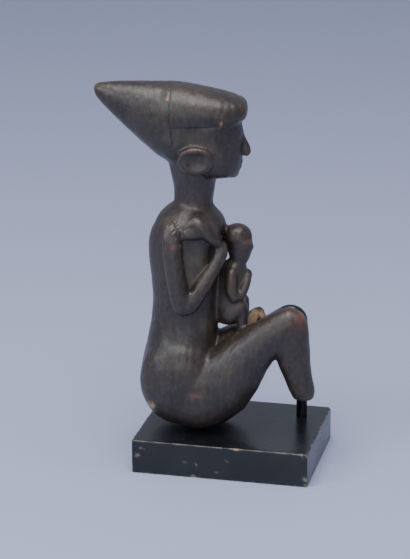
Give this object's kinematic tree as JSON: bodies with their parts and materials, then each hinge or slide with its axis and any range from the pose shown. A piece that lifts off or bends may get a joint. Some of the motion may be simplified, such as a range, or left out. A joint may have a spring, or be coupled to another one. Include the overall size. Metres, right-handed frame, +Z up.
{
  "type": "mother and child figure",
  "caption": "Seated wooden mother with a tall swept-back cap holding a small child, on a black plinth with a bent support rod.",
  "frame": {"origin": "centre of the plinth's underside", "axes": "+Z up, the plinth's long side along Y, the figure facing -Y and turned 9 degrees about Z towards +X"},
  "size_m": [0.06, 0.1028, 0.179],
  "materials": {
    "carved_wood": "dark oiled wood, rubbed to a soft sheen",
    "black_steel": "glossy black",
    "black_paint": "satin black paint, chipped at the edges"
  },
  "bodies": {
    "root": {"figure": "carved_wood", "support_rod": "black_steel", "plinth": "black_paint"}
  },
  "joints": []
}
